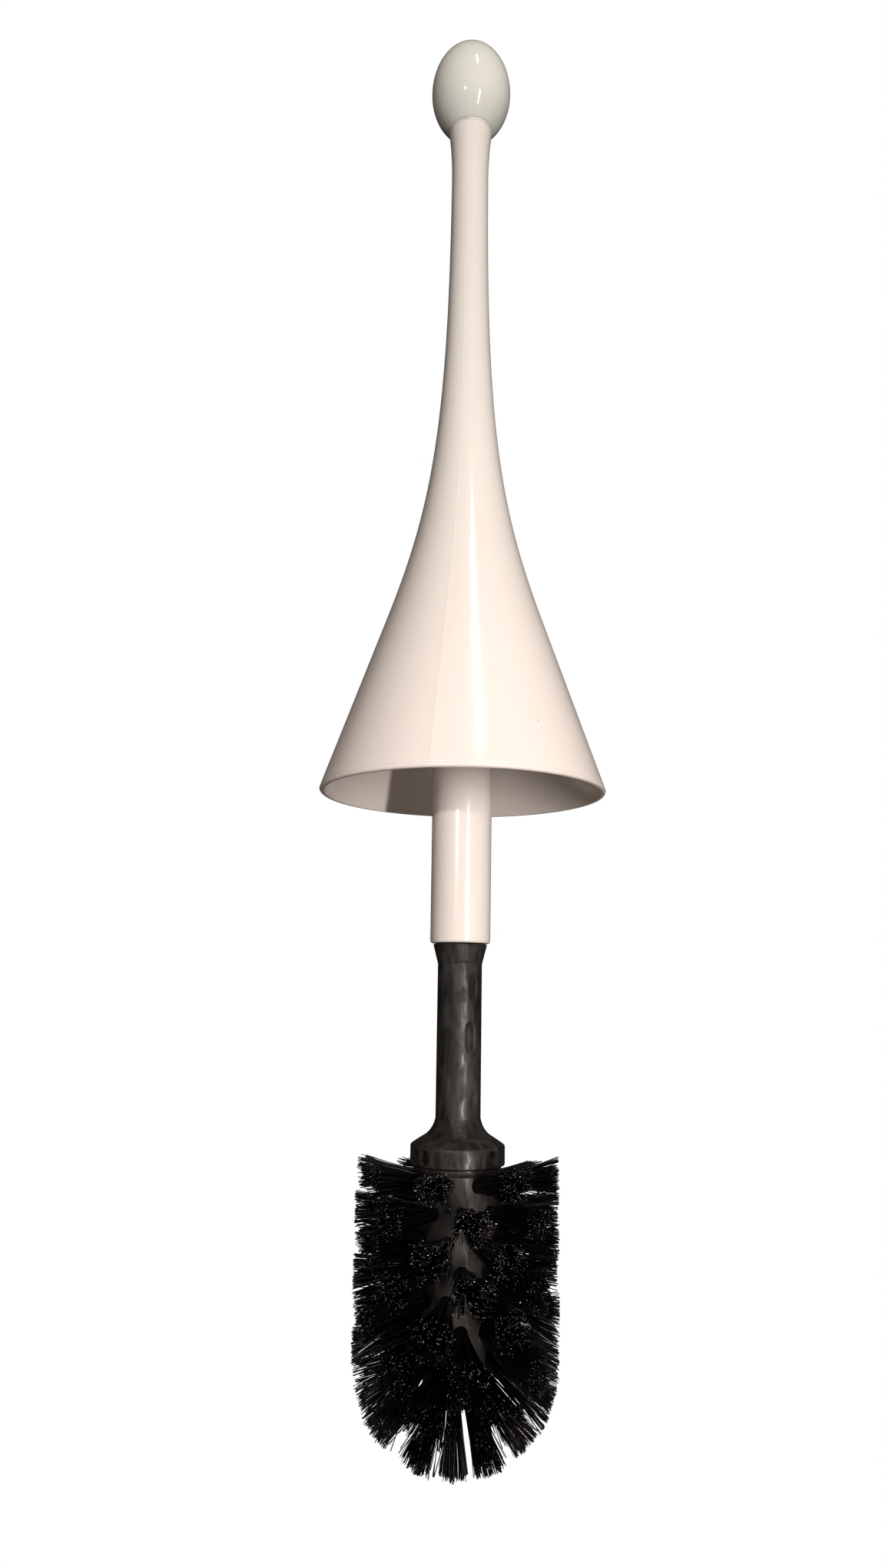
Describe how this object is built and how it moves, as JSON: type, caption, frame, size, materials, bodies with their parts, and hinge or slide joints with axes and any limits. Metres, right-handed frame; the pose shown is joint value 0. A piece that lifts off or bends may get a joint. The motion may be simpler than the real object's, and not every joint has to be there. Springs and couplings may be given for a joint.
{
  "type": "toilet brush",
  "caption": "Toilet brush with an egg-shaped knob, a trumpet-shaped handle whose bell closes its holder, an inner tube and a screw-in black brush head.",
  "frame": {"origin": "centre of the bell's flat rim, where the brush rests on its holder", "axes": "+Z along the brush's axis towards the knob, -Y towards the front, between two of the collar's windows"},
  "size_m": [0.1068, 0.1068, 0.5584],
  "materials": {
    "knob_white": "polished cool white",
    "brass": "turned",
    "handle_white": "glossy warm white",
    "steel": "zinc plated",
    "stem_black": "semi-matte moulded",
    "seal_rubber": "matte",
    "core_black": "semi-matte moulded",
    "bristle_black": "stiff glossy filament"
  },
  "bodies": {
    "handle": {"knob": "knob_white", "knob_insert": "brass", "handle_bell": "handle_white", "tie_rod": "steel", "tie_rod_washer": "steel", "tie_rod_nut": "steel", "centring_cone": "handle_white", "inner_tube": "handle_white", "socket_bush": "stem_black"},
    "seal": {"stem_seal": "seal_rubber"},
    "brush_head": {"brush_stem": "stem_black", "bristle_core": "core_black", "bristle_row_1": "bristle_black", "bristle_row_2": "bristle_black", "bristle_row_3": "bristle_black", "bristle_row_4": "bristle_black", "bristle_row_5": "bristle_black", "bristle_row_6": "bristle_black", "bristle_row_7": "bristle_black", "end_tuft_1": "bristle_black", "end_tuft_2": "bristle_black", "end_tuft_3": "bristle_black", "end_tuft_4": "bristle_black", "end_tuft_5": "bristle_black", "end_tuft_6": "bristle_black", "end_tuft_centre": "bristle_black"}
  },
  "joints": [
    {"name": "head_travel", "type": "slide", "parent": "handle", "child": "seal", "axis": [0, 0, -1], "range_m": [0, 0.022]},
    {"name": "head_unscrew", "type": "hinge", "parent": "seal", "child": "brush_head", "pos_m": [0, 0, -0.0555], "axis": [0, 0, -1], "range_deg": [0, 1980]}
  ],
  "couplings": [
    {"joint": "head_travel", "follows": "head_unscrew", "m_per_rad": 0.0006366}
  ]
}
